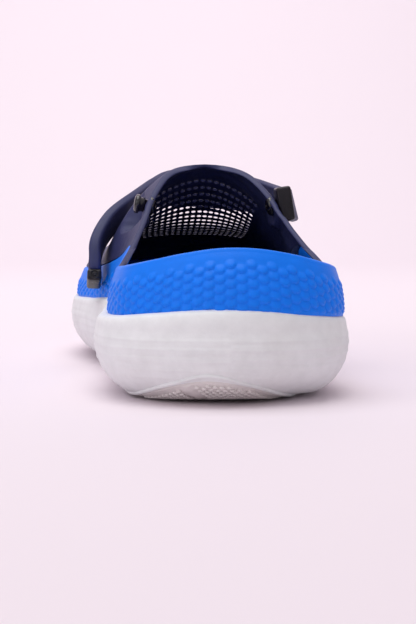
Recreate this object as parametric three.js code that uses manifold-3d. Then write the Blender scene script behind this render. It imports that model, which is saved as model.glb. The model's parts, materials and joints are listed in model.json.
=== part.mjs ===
// A left foam clog with a swinging heel strap, built as separate pieces.
// Millimetres, +Z up, +Y towards the toe, +X towards the inner side of the foot.
// Stations run from 0 at the back of the heel to LENGTH at the tip of the toe.

import * as THREE from 'three';
import { mergeVertices } from 'three/addons/utils/BufferGeometryUtils.js';
import Module from 'manifold-3d';

const wasm = await Module();
wasm.setup();

// ---------------------------------------------------------------- driving dimensions

const LENGTH = 285;
const GAP = 0.3;                    // between pieces that touch
const RIM_POINTS = 56;              // points round the clog
const WALL = 4.6;                   // foam wall of the upper and the collar
const SEAT = 18;                    // floor of the well that holds the footbed
const FOOTBED = 6;                  // thickness of the footbed
const TREAD = 2;                    // thickness of the rubber tread plates
const TREAD_STAND = 0.8;            // how far the treads stand below the foam
const TOE_SPRING = 11;              // lift of the toe tip off the floor
const SPRING_START = 205;           // station where the lift starts

const PIVOT_STATION = 109;
const PIVOT_HEIGHT = 69;
const PIVOT_SIDE = 30;              // middle of the strap's end, from the centre line
const CAP = { length: 12, width: 14, thick: 6 };
const SHANK_R = 2.3;                // shank of the button, through the wall
const BUTTON_R = 4;
const STUD_R = 3.9;
const BOSS_R = 6.2;

// ---------------------------------------------------------------- smooth profiles

// A smooth value along the clog, through [station, value] knots.
function along(knots) {
  const slope = knots.map((knot, i) => {
    const before = knots[Math.max(i - 1, 0)];
    const after = knots[Math.min(i + 1, knots.length - 1)];
    return (after[1] - before[1]) / (after[0] - before[0]);
  });
  return (station) => {
    if (station <= knots[0][0]) return knots[0][1];
    const last = knots.length - 1;
    if (station >= knots[last][0]) return knots[last][1];
    const i = knots.findIndex((knot) => knot[0] > station) - 1;
    const span = knots[i + 1][0] - knots[i][0];
    const t = (station - knots[i][0]) / span;
    const ease = t * t * (3 - 2 * t);
    const leave = t * (1 - t) * (1 - t) * slope[i] * span;
    const arrive = t * t * (t - 1) * slope[i + 1] * span;
    return knots[i][1] * (1 - ease) + knots[i + 1][1] * ease + leave + arrive;
  };
}

const spring = (station) => {
  const t = Math.max(0, (station - SPRING_START) / (LENGTH - SPRING_START));
  return TOE_SPRING * t * t;
};
const soleTop = along([[0, 33], [8, 31.4], [25, 29.6], [60, 28.8], [110, 30.6], [150, 29], [200, 28],
  [LENGTH, 34]]);
const crown = along([[44, 68], [62, 72], [85, 83], [108, 87], [133, 86.5], [150, 78.5], [172, 68],
  [195, 60.5], [220, 56.5], [243, 53], [258, 50]]);
const roundness = along([[44, 2.2], [66, 1.8], [87, 1.62], [105, 1.77], [125, 1.95], [135, 1.9],
  [155, 1.65], [175, 1.8], [195, 2.1], [215, 2.4], [258, 2.4]]);
const topline = along([[-10, 54.6], [8, 54.4], [12, 52.2], [18, 49.6], [28, 47.4], [45, 46],
  [58, 46], [66, 49], [77, 54], [87, 59], [95, 64], [105, 70], [112, 75.5], [118, 79.3],
  [125, 82.8], [133, 86.4], [142, 93]]);
const parting = along([[54, 41], [62, 46.5], [72, 51], [85, 52.5], [105, 49], [135, 44], [170, 41],
  [230, 41], [LENGTH + 10, 45]]);

// ---------------------------------------------------------------- plan of the sole

const MEDIAL = [[24, 6.5], [40, 22], [46, 46], [44, 80], [42, 112], [46, 150], [51, 188],
  [51, 222], [43, 252], [25, 276]];
const LATERAL = [[-24, 6.5], [-40, 22], [-46, 46], [-45, 80], [-44.5, 115], [-53, 150], [-60, 188],
  [-58, 222], [-46, 252], [-25, 276]];
const TOE = [0, LENGTH];
const plan = new THREE.CatmullRomCurve3(
  [[0, 0], ...MEDIAL, TOE, ...LATERAL.toReversed()].map(([x, s]) => new THREE.Vector3(x, s, 0)),
  true, 'centripetal');

// Points of the plan with their inward directions; point 0 is the back of the heel.
const rim = Array.from({ length: RIM_POINTS }, (_, i) => {
  const t = i / RIM_POINTS;
  const point = plan.getPoint(t);
  const tangent = plan.getTangent(t);
  return { x: point.x, s: point.y, inward: [-tangent.y, tangent.x] };
});

// The plan point i, moved in by `inset`, at height z.
const inside = (i, inset, z) => {
  const { x, s, inward } = rim[i];
  return [x + inward[0] * inset, s + inward[1] * inset, z];
};

// ---------------------------------------------------------------- solids

// A closed body from rings of equal length, the lowest ring first.
function ringBody(rings) {
  const count = rings[0].length;
  const positions = rings.flat(2);
  const faces = [];
  const corner = (ring, i) => ring * count + (i % count);
  for (let ring = 0; ring + 1 < rings.length; ring += 1) {
    for (let i = 0; i < count; i += 1) {
      faces.push(corner(ring, i), corner(ring, i + 1), corner(ring + 1, i + 1));
      faces.push(corner(ring, i), corner(ring + 1, i + 1), corner(ring + 1, i));
    }
  }
  const top = rings.length - 1;
  for (let i = 0; i < count / 2; i += 1) {
    const [a, b, c, d] = [i, i + 1, count - i - 1, (count - i) % count];
    if (b !== c) faces.push(corner(top, a), corner(top, b), corner(top, c));
    if (b !== c) faces.push(corner(0, b), corner(0, a), corner(0, c));
    if (d !== a) faces.push(corner(top, a), corner(top, c), corner(top, d));
    if (d !== a) faces.push(corner(0, c), corner(0, a), corner(0, d));
  }
  const geometry = new THREE.BufferGeometry();
  geometry.setAttribute('position', new THREE.Float32BufferAttribute(positions, 3));
  geometry.setIndex(faces);
  return geometry;
}

// A solid for joining and cutting, from a closed three.js geometry.
function solid(geometry) {
  const bare = geometry.clone();
  bare.deleteAttribute('normal');
  bare.deleteAttribute('uv');
  const merged = mergeVertices(bare, 1e-4);
  return new wasm.Manifold(new wasm.Mesh({
    numProp: 3,
    vertProperties: new Float32Array(merged.attributes.position.array),
    triVerts: new Uint32Array(merged.index.array),
  }));
}

// A solid's geometry, for a mesh.
function shape(body) {
  const mesh = body.getMesh();
  const geometry = new THREE.BufferGeometry();
  geometry.setAttribute('position', new THREE.BufferAttribute(mesh.vertProperties, 3));
  geometry.setIndex(new THREE.BufferAttribute(mesh.triVerts, 1));
  geometry.computeVertexNormals();
  return geometry;
}

// A side profile of [station, height] points, extruded right across the clog.
function across(points) {
  const halfSpan = 90;
  const outline = new THREE.Shape(points.map(([s, z]) => new THREE.Vector2(s, z)));
  const geometry = new THREE.ExtrudeGeometry(outline, { depth: 2 * halfSpan, bevelEnabled: false });
  geometry.applyMatrix4(new THREE.Matrix4().set(
    0, 0, 1, -halfSpan,
    1, 0, 0, 0,
    0, 1, 0, 0,
    0, 0, 0, 1));
  return solid(geometry);
}

// The [station, height] points of a profile, from one station to another.
function sampled(profile, from, to, steps, lift = 0) {
  return Array.from({ length: steps + 1 }, (_, i) => {
    const station = from + (to - from) * i / steps;
    return [station, profile(station) + lift];
  });
}

// ---------------------------------------------------------------- sole and treads

// The bulging outside of the sole, shrunk by `skin`.
function soleBody(skin) {
  const levels = [[17.5, 0], [12, 0.7], [7.5, 3], [3.8, 7], [1, 12.5], [0, 19], [0.9, 24.5]];
  const rings = levels.map(([inset, z]) => rim.map((_, i) => {
    const lift = spring(rim[i].s) + TREAD_STAND;
    return inside(i, inset + skin, z + lift + skin * Math.max(0, 1 - z / 12));
  }));
  rings.push(rim.map((_, i) => inside(i, 3.4 + skin, soleTop(rim[i].s) - 1)));
  rings.push(rim.map((_, i) => inside(i, 5 + skin, soleTop(rim[i].s))));
  return solid(ringBody(rings));
}

// A well with the foot's plan, from `floor` up to `ceiling`.
function well(inset, floor, ceiling) {
  const flat = (z) => rim.map((_, i) => inside(i, inset, z + spring(rim[i].s) * 0.8));
  return solid(ringBody([flat(floor), flat(ceiling)]));
}

// An upright oval post that picks out one tread.
function treadPost({ x, s, halfWidth, halfLength }, grow) {
  const post = new THREE.CylinderGeometry(1, 1, 60, 40);
  post.rotateX(Math.PI / 2);
  post.scale(halfWidth + grow, halfLength + grow, 1);
  post.translate(x, s, 0);
  return solid(post);
}

const HEEL_TREAD = { x: -5, s: 52, halfWidth: 34, halfLength: 50 };
const FORE_TREAD = { x: -4, s: 190, halfWidth: 42, halfLength: 62 };
const UNDER = 15;                   // treads reach no higher than this

const soleOuter = soleBody(0);
const soleInner = soleBody(TREAD);
const soleDrop = TREAD_STAND;
const lowHalf = across([[-20, -30], [LENGTH + 20, -30], [LENGTH + 20, UNDER + 8], [110, UNDER - 3],
  [-20, UNDER - 3]]);
const treadSkin = soleOuter.translate([0, 0, -soleDrop]).subtract(soleInner).intersect(lowHalf);
const treadRoom = soleOuter.translate([0, 0, -soleDrop - 5]).add(soleOuter)
  .subtract(soleBody(TREAD + GAP)).intersect(lowHalf);
const heelTread = treadSkin.intersect(treadPost(HEEL_TREAD, 0));
const foreTread = treadSkin.intersect(treadPost(FORE_TREAD, 0));

const sole = soleOuter
  .subtract(well(12, SEAT, 60))
  .subtract(treadRoom.intersect(treadPost(HEEL_TREAD, GAP)))
  .subtract(treadRoom.intersect(treadPost(FORE_TREAD, GAP)));

const footbed = well(12 + GAP, SEAT + GAP, SEAT + FOOTBED);

// ---------------------------------------------------------------- upper and collar

const HEEL_HINGE = 44;              // the dome fans out from here round the heel
const TOE_HINGE = 258;              // and from here round the toe
const DOME_LEVELS = 10;
const DOME_STOP = THREE.MathUtils.degToRad(86);

// How far the upper's foot sits in from the sole's outline.
const stepIn = (i) => {
  const { x, s } = rim[i];
  const heel = THREE.MathUtils.clamp((150 - s) / 50, 0, 1);
  const side = THREE.MathUtils.clamp(x / 30, -1, 1);
  return 3 + heel * (0.6 - 1.6 * side);
};

// The dome of the whole upper, with its wall taken off by `skin`, standing on `floor` over the sole.
function dome(skin, floor) {
  const rings = [];
  if (skin > 0) rings.push(rim.map((_, i) => inside(i, stepIn(i) + skin, SEAT - 2)));
  for (let level = 0; level <= DOME_LEVELS; level += 1) {
    const angle = DOME_STOP * level / DOME_LEVELS;
    rings.push(rim.map((_, i) => {
      const [x, s] = inside(i, stepIn(i) + skin, 0);
      const ridge = THREE.MathUtils.clamp(s, HEEL_HINGE, TOE_HINGE);
      const ridgeX = -2 * THREE.MathUtils.clamp((ridge - HEEL_HINGE) / 90, 0, 1) + 1;
      const power = 2 / roundness(ridge);
      const reach = Math.cos(angle) ** power;
      const rise = Math.sin(angle) ** power;
      const foot = soleTop(s) + floor;
      return [ridgeX + (x - ridgeX) * reach, ridge + (s - ridge) * reach,
        foot + (crown(ridge) - skin - foot) * rise];
    }));
  }
  return solid(ringBody(rings));
}

const openTop = across([[-20, 120], ...sampled(topline, -20, 142, 40), [142, 120]]);
const belowParting = (lift) => across([
  [-20, -5], [-20, 120], [54 - lift, 120],
  ...sampled(parting, 54 - lift, LENGTH + 10, 40, -lift), [LENGTH + 10, -5]]);

// Turns a solid made along +Z so that it lies along the pivot axis of one side, at the pivot.
const PIVOT_TILT = THREE.MathUtils.degToRad(9);
function atPivot(body, side) {
  const turn = 90 - THREE.MathUtils.radToDeg(PIVOT_TILT);
  const place = [side * PIVOT_SIDE, PIVOT_STATION, PIVOT_HEIGHT];
  return body.rotate([0, side * turn, 0]).translate(place);
}

// A turned piece: closed [radius, distance along the axis] profile.
function turned(profile, sides = 20) {
  const points = [...profile, profile[0]].map(([r, z]) => new THREE.Vector2(r, z));
  const geometry = new THREE.LatheGeometry(points, sides);
  geometry.rotateX(Math.PI / 2);
  const body = solid(geometry);
  return body.volume() > 0 ? body : solid(flipped(geometry));
}

function flipped(geometry) {
  const turnedOver = geometry.clone();
  const index = turnedOver.index.array;
  for (let i = 0; i < index.length; i += 3) {
    [index[i], index[i + 1]] = [index[i + 1], index[i]];
  }
  return turnedOver;
}

const rod = (radius, from, to) => turned([[0, from], [radius, from], [radius, to], [0, to]]);

const INNER_FACE = -CAP.thick / 2 - GAP;      // the boss ends here, just inside the strap's end
const CAP_SWEEP = Math.hypot(CAP.length, CAP.width) / 2 + GAP;    // room for the cap to turn in
const outerDome = dome(0, -1);
const cavity = dome(WALL, 0);
const PAD = 3;                                // wall left behind each boss
const HEAD_BACK = INNER_FACE - PAD - GAP;             // back of the button's head, inside the clog
const buttonHole = rod(SHANK_R + GAP, -30, 10).add(rod(BUTTON_R + GAP, -30, HEAD_BACK + GAP));
const sweepRoom = rod(CAP_SWEEP, INNER_FACE, 30);
const ARM_SWEEP = 18;                         // the strap's first stretch turns within this radius
const armSweep = rod(ARM_SWEEP, INNER_FACE + 0.5, 30);
const aboveArm = across([[0, PIVOT_HEIGHT - 8], [LENGTH, PIVOT_HEIGHT - 8], [LENGTH, 120], [0, 120]]);
const pad = rod(CAP_SWEEP + 1.5, INNER_FACE - PAD, 30);
const boss = rod(BOSS_R, INNER_FACE - PAD, INNER_FACE);
const shell = outerDome.subtract(cavity)
  .add(outerDome.intersect(atPivot(pad, 1)))
  .add(outerDome.intersect(atPivot(pad, -1)))
  .subtract(atPivot(sweepRoom, 1))
  .subtract(atPivot(sweepRoom, -1))
  .subtract(atPivot(armSweep, 1).intersect(aboveArm))
  .subtract(atPivot(armSweep, -1).intersect(aboveArm))
  .add(atPivot(boss, 1))
  .add(atPivot(boss, -1))
  .subtract(openTop)
  .subtract(soleOuter.translate([0, 0, GAP]))
  .subtract(atPivot(buttonHole, 1))
  .subtract(atPivot(buttonHole, -1));
const collar = shell.intersect(belowParting(0));
const upper = shell.subtract(belowParting(-GAP));

// ---------------------------------------------------------------- rivets

const button = turned([[0, HEAD_BACK - 2.4], [2.4, HEAD_BACK - 2], [BUTTON_R, HEAD_BACK - 0.6],
  [BUTTON_R, HEAD_BACK], [SHANK_R, HEAD_BACK], [SHANK_R, INNER_FACE + 1.2], [0, INNER_FACE + 1.2]]);
const stud = turned([[SHANK_R + GAP, INNER_FACE + GAP], [STUD_R - 1, INNER_FACE + GAP],
  [STUD_R - 1, INNER_FACE + 2], [STUD_R, INNER_FACE + 2.6], [STUD_R, INNER_FACE + 3.6],
  [STUD_R - 1, INNER_FACE + 4.4], [0, INNER_FACE + 4.6], [0, INNER_FACE + 1.2 + GAP],
  [SHANK_R + GAP, INNER_FACE + 1.2 + GAP]]);

// ---------------------------------------------------------------- strap

// Middle line of the strap, [x, station, height], from the right end round the front to the free end.
const STRAP_LINE = [[PIVOT_SIDE, PIVOT_STATION, PIVOT_HEIGHT], [31.4, 119, 69], [35.2, 133, 69],
  [37.5, 152, 69], [35, 178, 71], [22, 199, 75], [2, 207, 77.5], [-14, 200, 77.5], [-25, 180, 73.5],
  [-34.2, 158, 67.2], [-43, 143, 59], [-47.2, 133.5, 50.5], [-47.9, 129.7, 42.5], [-48, 127, 34.5]];
const STRAP_STEPS = 30;
const STRAP_LEAN = along([[0, PIVOT_TILT], [0.3, 0.3], [0.5, 0.2], [0.75, 0.5], [1, 0.3]]);
const STRAP_WIDTH = along([[0, 14], [0.25, 15], [0.5, 18], [0.75, 15], [1, 14]]);
const STRAP_THICK = along([[0, 4.4], [0.25, 3.6], [0.7, 3.6], [1, 5.4]]);

const strapCurve = new THREE.CatmullRomCurve3(
  STRAP_LINE.map(([x, s, z]) => new THREE.Vector3(x, s, z)), false, 'centripetal');

// The strap's directions at t: along it, out of its outer face, and across it.
function strapFrame(t) {
  const forward = strapCurve.getTangentAt(t);
  const flat = new THREE.Vector3(forward.y, -forward.x, 0).normalize();
  const lean = STRAP_LEAN(t);
  const out = flat.multiplyScalar(Math.cos(lean)).add(new THREE.Vector3(0, 0, Math.sin(lean)));
  out.addScaledVector(forward, -out.dot(forward)).normalize();
  const wide = new THREE.Vector3().crossVectors(forward, out);
  return { at: strapCurve.getPointAt(t), forward, out, wide };
}

// A band with slightly rounded edges that follows the strap's line between two places on it.
function band(from, to) {
  const rings = Array.from({ length: STRAP_STEPS + 1 }, (_, step) => {
    const t = from + (to - from) * step / STRAP_STEPS;
    const { at, out, wide } = strapFrame(t);
    const [w, h] = [STRAP_WIDTH(t) / 2, STRAP_THICK(t) / 2];
    const soft = 0.6 * h;
    const section = [[-w + soft, -h], [w - soft, -h], [w, -h + soft], [w, h - soft],
      [w - soft, h], [-w + soft, h], [-w, h - soft], [-w, -h + soft]];
    return section.map(([sideways, up]) => {
      const point = at.clone().addScaledVector(wide, sideways).addScaledVector(out, up);
      return point.toArray();
    });
  });
  const body = solid(ringBody(rings));
  return body.volume() > 0 ? body : solid(flipped(ringBody(rings)));
}

// A body made round the origin (X across, Y along, Z out), put on the strap at t.
function onStrap(body, t) {
  const { at, forward, out, wide } = strapFrame(t);
  return body.transform([...wide.toArray(), 0, ...forward.toArray(), 0, ...out.toArray(), 0,
    ...at.toArray(), 1]);
}

// Each cap is a block with a pocket for the stud, and a snap ring pressed into the pocket.
const RING_R = STUD_R + 1;
const capBlock = solid(new THREE.BoxGeometry(CAP.width, CAP.length, CAP.thick));
const cap = capBlock.subtract(rod(RING_R + GAP, -CAP.thick, 1.6));
const ring = turned([[STUD_R + 0.25, -2.4], [RING_R, -2.4], [RING_R, 1.2], [STUD_R + 0.25, 1.2]]);

const strapLength = strapCurve.getLength();
const capReach = (CAP.length / 2 + 3 * GAP) / strapLength;
const FREE_END = 1 - capReach;
const strap = band(capReach, FREE_END - capReach);

// ---------------------------------------------------------------- the clog

const PARTS = [
  ['sole', sole, 0xe4e5e6, 0.62],
  ['heel_tread', heelTread, 0xd6d6d6, 0.7],
  ['forefoot_tread', foreTread, 0xd6d6d6, 0.7],
  ['footbed', footbed, 0x22243c, 0.85],
  ['collar', collar, 0x0a6eea, 0.5],
  ['upper', upper, 0x2b2d4a, 0.6],
  ['button_right', atPivot(button, 1), 0x08080b, 0.2],
  ['button_left', atPivot(button, -1), 0x08080b, 0.2],
  ['stud_right', atPivot(stud, 1), 0x08080b, 0.2],
  ['stud_left', atPivot(stud, -1), 0x08080b, 0.2],
  ['strap_band', strap, 0x33355a, 0.6],
  ['strap_cap_right', atPivot(cap, 1), 0x111114, 0.4],
  ['strap_cap_left', onStrap(cap, FREE_END), 0x111114, 0.4],
  ['socket_ring_right', atPivot(ring, 1), 0x303036, 0.3],
  ['socket_ring_left', onStrap(ring, FREE_END), 0x303036, 0.3],
];

// The origin is at the middle of the clog's footprint, on the floor.
const clog = new THREE.Group();
for (const [name, body, color, roughness] of PARTS) {
  const material = new THREE.MeshStandardMaterial({ color, roughness, metalness: 0 });
  const mesh = new THREE.Mesh(shape(body), material);
  mesh.name = name;
  clog.add(mesh);
}
const middle = new THREE.Box3().setFromObject(clog).getCenter(new THREE.Vector3());
clog.position.set(-middle.x, -middle.y, 0);

export default clog;
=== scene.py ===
# %% [markdown]
# # A foam garden clog
# This lesson builds a slip-on garden clog with a swinging heel strap. It starts from the CAD
# frame, which holds every piece at its true size and place. Each soft piece is then made again
# as a fine mesh with the same formulas, so that it can carry texture, rounded rims and holes.
#
# All lengths below are in millimetres, in the shape frame of the clog: x to the wearer's right,
# s from the back of the heel to the toe, z up. One function turns them into metres.

import json
import math

import bmesh
import bpy
import numpy as np
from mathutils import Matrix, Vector

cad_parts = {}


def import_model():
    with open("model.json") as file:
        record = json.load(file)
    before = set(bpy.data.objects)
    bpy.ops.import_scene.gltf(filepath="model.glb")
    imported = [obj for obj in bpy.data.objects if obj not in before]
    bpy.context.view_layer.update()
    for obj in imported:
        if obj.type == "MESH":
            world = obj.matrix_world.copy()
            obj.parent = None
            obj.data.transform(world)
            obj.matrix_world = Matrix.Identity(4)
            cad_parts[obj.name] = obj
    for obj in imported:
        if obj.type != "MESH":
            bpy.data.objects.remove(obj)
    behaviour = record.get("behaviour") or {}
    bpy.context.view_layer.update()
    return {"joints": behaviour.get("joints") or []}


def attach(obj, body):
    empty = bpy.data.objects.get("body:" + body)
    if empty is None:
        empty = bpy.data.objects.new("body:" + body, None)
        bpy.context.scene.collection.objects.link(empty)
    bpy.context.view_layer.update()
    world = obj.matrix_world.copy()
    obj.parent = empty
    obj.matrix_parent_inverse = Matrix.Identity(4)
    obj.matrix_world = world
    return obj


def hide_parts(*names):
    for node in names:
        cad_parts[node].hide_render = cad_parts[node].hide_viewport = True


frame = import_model()

LENGTH = 285.0
SHIFT = np.array([4.2148, -LENGTH / 2, 0.0])
MM = 0.001

# %% [markdown]
# ## Smooth rules for the shape
# A clog has no straight lines. Its heights and widths are given at a few stations along the
# foot, and a smooth curve runs through them. Changing one number bends the shoe gently there.

# %% Curves through a few values


def along(knots):
    stations = np.array([k[0] for k in knots], float)
    values = np.array([k[1] for k in knots], float)
    slopes = np.gradient(values, stations)
    inner = (values[2:] - values[:-2]) / (stations[2:] - stations[:-2])
    slopes[1:-1] = inner
    slopes[0] = (values[1] - values[0]) / (stations[1] - stations[0])
    slopes[-1] = (values[-1] - values[-2]) / (stations[-1] - stations[-2])

    def value(s):
        s = np.clip(np.asarray(s, float), stations[0], stations[-1])
        i = np.clip(np.searchsorted(stations, s, side="right") - 1, 0, len(stations) - 2)
        width = stations[i + 1] - stations[i]
        t = (s - stations[i]) / width
        h00 = 2 * t**3 - 3 * t**2 + 1
        h10 = t**3 - 2 * t**2 + t
        h01 = -2 * t**3 + 3 * t**2
        h11 = t**3 - t**2
        start = h00 * values[i] + h10 * width * slopes[i]
        return start + h01 * values[i + 1] + h11 * width * slopes[i + 1]

    return value


def smooth(edge0, edge1, v):
    t = np.clip((np.asarray(v, float) - edge0) / (edge1 - edge0), 0, 1)
    return t * t * (3 - 2 * t)


sole_top = along(
    [[0, 33], [8, 31.4], [25, 29.6], [60, 28.8], [110, 30.6], [150, 29], [200, 28], [285, 34]]
)
crown = along(
    [[44, 68], [62, 72], [85, 83], [108, 87], [133, 86.5], [150, 78.5], [172, 68], [195, 60.5],
     [220, 56.5], [243, 53], [258, 50]]
)
roundness = along(
    [[44, 2.2], [66, 1.8], [87, 1.62], [105, 1.77], [125, 1.95], [135, 1.9], [155, 1.65],
     [175, 1.8], [195, 2.1], [215, 2.4], [258, 2.4]]
)
topline = along(
    [[-10, 54.6], [8, 54.4], [12, 52.2], [18, 49.6], [28, 47.4], [45, 46], [58, 46], [66, 49],
     [77, 54], [87, 59], [95, 64], [105, 70], [112, 75.5], [118, 79.3], [125, 82.8], [133, 86.4],
     [142, 93]]
)
parting = along(
    [[54, 41], [62, 46.5], [72, 51], [85, 52.5], [105, 49], [135, 44], [170, 41], [230, 41],
     [295, 45]]
)


def spring(s):
    return 11 * np.maximum(0, (np.asarray(s, float) - 205) / 80) ** 2


# %% [markdown]
# ## The outline seen from above
# A closed centripetal Catmull-Rom curve passes through a few points of the outline. It is the
# same kind of curve that the CAD uses, so both models share one footprint.

# %% Outline curve

MEDIAL = [[24, 6.5], [40, 22], [46, 46], [44, 80], [42, 112], [46, 150], [51, 188], [51, 222],
          [43, 252], [25, 276]]
LATERAL = [[-24, 6.5], [-40, 22], [-46, 46], [-45, 80], [-44.5, 115], [-53, 150], [-60, 188],
           [-58, 222], [-46, 252], [-25, 276]]
OUTLINE = np.array([[0, 0]] + MEDIAL + [[0, 285]] + LATERAL[::-1], float)


def catmull(points, closed, steps):
    points = np.asarray(points, float)
    count = len(points)
    if closed:
        pad = np.vstack([points[-1:], points, points[:2]])
        spans = count
    else:
        pad = np.vstack([2 * points[0] - points[1], points, 2 * points[-1] - points[-2]])
        spans = count - 1
    result = []
    for k in range(spans):
        p0, p1, p2, p3 = pad[k : k + 4]
        d0 = np.linalg.norm(p1 - p0) ** 0.5
        d1 = np.linalg.norm(p2 - p1) ** 0.5
        d2 = np.linalg.norm(p3 - p2) ** 0.5
        m1 = ((p1 - p0) / d0 - (p2 - p0) / (d0 + d1) + (p2 - p1) / d1) * d1
        m2 = ((p2 - p1) / d1 - (p3 - p1) / (d1 + d2) + (p3 - p2) / d2) * d1
        t = (np.arange(steps) / steps)[:, None]
        h = (2 * t**3 - 3 * t**2 + 1) * p1 + (t**3 - 2 * t**2 + t) * m1
        result.append(h + (3 * t**2 - 2 * t**3) * p2 + (t**3 - t**2) * m2)
    if not closed:
        result.append(points[-1:])
    return np.vstack(result)


def even(points, count, closed=True):
    loop = np.vstack([points, points[:1]]) if closed else points
    steps = np.linalg.norm(np.diff(loop, axis=0), axis=1)
    travelled = np.concatenate([[0], np.cumsum(steps)])
    wanted = np.linspace(0, travelled[-1], count + 1 if closed else count)
    if closed:
        wanted = wanted[:-1]
    columns = [np.interp(wanted, travelled, loop[:, c]) for c in range(loop.shape[1])]
    return np.stack(columns, 1)


def normals_in(loop):
    tangent = np.roll(loop, -1, 0) - np.roll(loop, 1, 0)
    tangent /= np.linalg.norm(tangent, axis=1)[:, None]
    return np.stack([-tangent[:, 1], tangent[:, 0]], 1)


outline_fine = catmull(OUTLINE, True, 120)
outline = even(outline_fine, 1440)
outline_in = normals_in(outline)
perimeter = np.linalg.norm(outline - np.roll(outline, 1, 0), axis=1).sum()
print("outline", round(perimeter), "mm round")

# %% [markdown]
# ## From grids of points to meshes
# Every soft piece is a grid of points, wrapped round and closed. One helper turns points and
# faces into a Blender object, in metres, with smooth shading.

# %% Mesh helpers


def world(points):
    return (np.asarray(points, float) + SHIFT) * MM


def make(name, points, faces, material, body, nodes=()):
    mesh = bpy.data.meshes.new(name)
    mesh.from_pydata([tuple(p) for p in world(points)], [], [tuple(f) for f in faces])
    mesh.validate()
    shell = bmesh.new()
    shell.from_mesh(mesh)
    bmesh.ops.recalc_face_normals(shell, faces=shell.faces)
    shell.to_mesh(mesh)
    shell.free()
    mesh.shade_smooth()
    piece = bpy.data.objects.new(name, mesh)
    bpy.context.scene.collection.objects.link(piece)
    mesh.materials.append(material)
    if nodes:
        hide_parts(*nodes)
    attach(piece, body)
    print(name, len(points), "points")
    return piece


def tube_faces(rings, width, closed_across=True, closed_along=False, first=0):
    faces = []
    last = rings if closed_along else rings - 1
    across = width if closed_across else width - 1
    for r in range(last):
        a = first + r * width
        b = first + ((r + 1) % rings) * width
        for c in range(across):
            d = (c + 1) % width
            faces.append((a + c, a + d, b + d, b + c))
    return faces


def ladder(width, first=0, flip=False):
    faces = []
    for i in range(width // 2):
        j = (width - i) % width
        quad = [first + i, first + i + 1, first + (width - i - 1) % width, first + j]
        quad = list(dict.fromkeys(quad))
        if len(quad) > 2:
            faces.append(tuple(quad[::-1] if flip else quad))
    return faces


# %% [markdown]
# ## Materials
# Moulded foam has a fine pebbly grain, a slightly uneven sheen and a little dirt and rubbing
# where it is handled. Three noises at different sizes give those, and they drive the colour,
# the roughness and the bump together, so the surface reads as one skin.

# %% Foam and plastic


def linear(r, g, b):
    out = []
    for v in (r, g, b):
        v /= 255
        out.append(v / 12.92 if v <= 0.04045 else ((v + 0.055) / 1.055) ** 2.4)
    return (*out, 1.0)


def surface(name, colour, rough, grain, depth, wear, worn, specular=0.5, coat=0.0, spread=0.12):
    material = bpy.data.materials.new(name)
    material.use_nodes = True
    nodes = material.node_tree.nodes
    links = material.node_tree.links
    shader = nodes["Principled BSDF"]
    shader.inputs["Specular IOR Level"].default_value = specular
    shader.inputs["Coat Weight"].default_value = coat
    shader.inputs["Coat Roughness"].default_value = 0.12
    place = nodes.new("ShaderNodeTexCoord").outputs["Object"]

    def noise(scale, detail, rough_noise=0.5):
        node = nodes.new("ShaderNodeTexNoise")
        node.inputs["Scale"].default_value = scale
        node.inputs["Detail"].default_value = detail
        node.inputs["Roughness"].default_value = rough_noise
        links.new(place, node.inputs["Vector"])
        return node.outputs["Fac"]

    def span(source, low, high, out_low, out_high):
        node = nodes.new("ShaderNodeMapRange")
        node.inputs["From Min"].default_value = low
        node.inputs["From Max"].default_value = high
        node.inputs["To Min"].default_value = out_low
        node.inputs["To Max"].default_value = out_high
        links.new(source, node.inputs["Value"])
        return node.outputs["Result"]

    broad = noise(28, 5, 0.6)
    middle = noise(190, 4, 0.6)
    fine = noise(grain, 3)
    mix = nodes.new("ShaderNodeMix")
    mix.data_type = "RGBA"
    mix.inputs["A"].default_value = linear(*colour)
    mix.inputs["B"].default_value = linear(*worn)
    links.new(span(broad, 0.45, 0.75, 0, wear), mix.inputs["Factor"])
    speck = nodes.new("ShaderNodeMix")
    speck.data_type = "RGBA"
    speck.blend_type = "MULTIPLY"
    speck.inputs["Factor"].default_value = 1.0
    links.new(mix.outputs["Result"], speck.inputs["A"])
    shade = nodes.new("ShaderNodeCombineColor")
    tone = span(middle, 0.3, 0.7, 0.95, 1.03)
    for channel in ("Red", "Green", "Blue"):
        links.new(tone, shade.inputs[channel])
    links.new(shade.outputs["Color"], speck.inputs["B"])
    links.new(speck.outputs["Result"], shader.inputs["Base Color"])
    add = nodes.new("ShaderNodeMath")
    add.operation = "ADD"
    links.new(span(middle, 0.3, 0.7, rough - spread / 2, rough + spread / 2), add.inputs[0])
    links.new(span(broad, 0.4, 0.8, 0, spread / 2), add.inputs[1])
    links.new(add.outputs["Value"], shader.inputs["Roughness"])
    grains = nodes.new("ShaderNodeBump")
    grains.inputs["Strength"].default_value = 0.6
    grains.inputs["Distance"].default_value = depth * MM
    links.new(fine, grains.inputs["Height"])
    soft = nodes.new("ShaderNodeBump")
    soft.inputs["Strength"].default_value = 0.5
    soft.inputs["Distance"].default_value = depth * 3 * MM
    links.new(middle, soft.inputs["Height"])
    links.new(grains.outputs["Normal"], soft.inputs["Normal"])
    links.new(soft.outputs["Normal"], shader.inputs["Normal"])
    return material


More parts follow.
